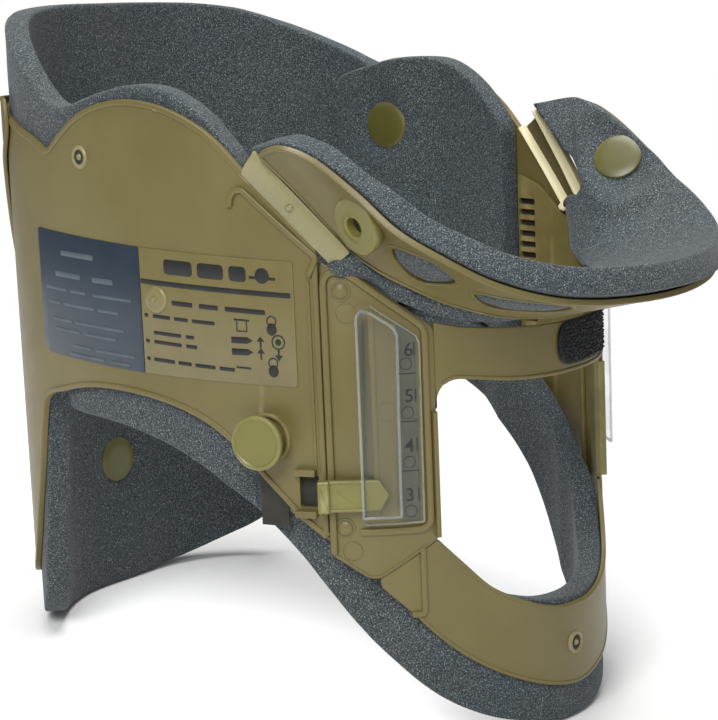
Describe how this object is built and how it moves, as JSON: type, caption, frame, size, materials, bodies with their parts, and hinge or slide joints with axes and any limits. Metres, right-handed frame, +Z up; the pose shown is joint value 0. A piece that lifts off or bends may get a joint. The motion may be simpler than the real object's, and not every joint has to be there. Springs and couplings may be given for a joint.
{
  "type": "cervical collar",
  "caption": "Adjustable extrication collar with a fold-up chin rest, foam liner and a front frame that slides to set its height.",
  "frame": {"origin": "on the table under the middle of the collar's bounding box", "axes": "+Z up, -Y towards the wearer's chin, +Y towards the nape, -X towards the wearer's right"},
  "size_m": [0.1658, 0.2499, 0.2109],
  "materials": {
    "shell_plastic": "matte",
    "light_plastic": "satin",
    "liner_foam": "matte",
    "clear_cover": "gloss",
    "hook_fabric": "matte",
    "label_film": "satin",
    "number_film": "satin",
    "rivet": "satin"
  },
  "bodies": {
    "shell": {"side_panel_right": "shell_plastic", "side_panel_left": "shell_plastic", "back_panel": "shell_plastic", "closure_tab": "shell_plastic", "side_foam_right": "liner_foam", "side_foam_left": "liner_foam", "back_foam": "liner_foam", "hinge_strip_right": "light_plastic", "hinge_strip_left": "light_plastic", "chin_shell": "shell_plastic", "chin_foam": "liner_foam", "chin_eyelets": "light_plastic", "liner_buttons": "light_plastic", "shell_rivets": "rivet", "label_right": "label_film", "label_left": "label_film", "latch_guide_right": "shell_plastic", "latch_guide_left": "shell_plastic", "lock_boss_right": "shell_plastic", "lock_boss_left": "shell_plastic"},
    "front_frame": {"scale_plate_right": "shell_plastic", "scale_plate_left": "shell_plastic", "ladder_right": "shell_plastic", "ladder_left": "shell_plastic", "number_strip_right": "number_film", "number_strip_left": "number_film", "scale_window_right": "clear_cover", "scale_window_left": "clear_cover", "guide_rail_right": "light_plastic", "guide_rail_left": "light_plastic", "throat_strap": "shell_plastic", "hook_patch": "hook_fabric", "chest_plate": "shell_plastic", "chest_foam": "liner_foam", "frame_rivets": "rivet"},
    "latch_right": {"latch_right": "light_plastic"},
    "latch_left": {"latch_left": "light_plastic"},
    "safety_lock_right": {"safety_lock_right": "light_plastic"},
    "safety_lock_left": {"safety_lock_left": "light_plastic"}
  },
  "joints": [
    {"name": "front_frame_slide", "type": "slide", "parent": "shell", "child": "front_frame", "axis": [0, -0.0872, -0.9962], "range_m": [0, 0.045]},
    {"name": "latch_right_slide", "type": "slide", "parent": "shell", "child": "latch_right", "axis": [-0.581, 0.8108, -0.0709], "range_m": [0, 0.008]},
    {"name": "safety_lock_right_push", "type": "slide", "parent": "shell", "child": "safety_lock_right", "axis": [0.9754, 0.2198, -0.0192], "range_m": [0, 0.003]},
    {"name": "latch_left_slide", "type": "slide", "parent": "shell", "child": "latch_left", "axis": [0.581, 0.8108, -0.0709], "range_m": [0, 0.008]},
    {"name": "safety_lock_left_push", "type": "slide", "parent": "shell", "child": "safety_lock_left", "axis": [-0.9754, 0.2198, -0.0192], "range_m": [0, 0.003]}
  ]
}
